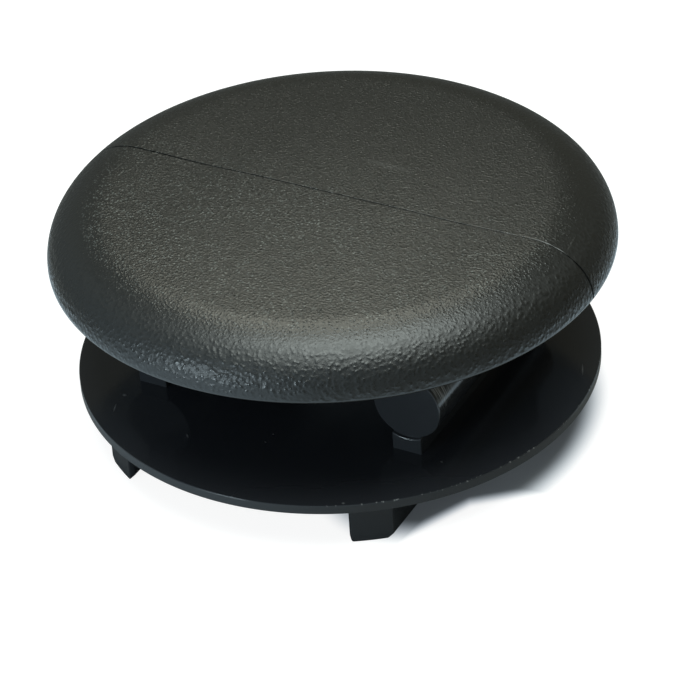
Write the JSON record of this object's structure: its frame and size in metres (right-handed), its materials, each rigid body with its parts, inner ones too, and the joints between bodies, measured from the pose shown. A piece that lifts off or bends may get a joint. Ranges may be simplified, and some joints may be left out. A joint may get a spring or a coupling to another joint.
{
  "type": "handrail end insert",
  "caption": "Black moulded plug that closes the end of a round handrail tube: a rounded cap with a flat seat, ribs below it, a thin disc that fits the bore, and runners under the disc.",
  "frame": {"origin": "on the cap's axis, level with the undersides of the runners", "axes": "+Z along the cap's axis, from the runners up to the cap's flat top; X across the ribs, in the moulding's parting plane; Y along the ribs and runners, the way the mould opens"},
  "size_m": [0.05, 0.05, 0.0213],
  "materials": {
    "black_plastic": "fine grain on the cap, smooth and glossy below it"
  },
  "bodies": {
    "root": {"end_insert": "black_plastic"}
  },
  "joints": []
}
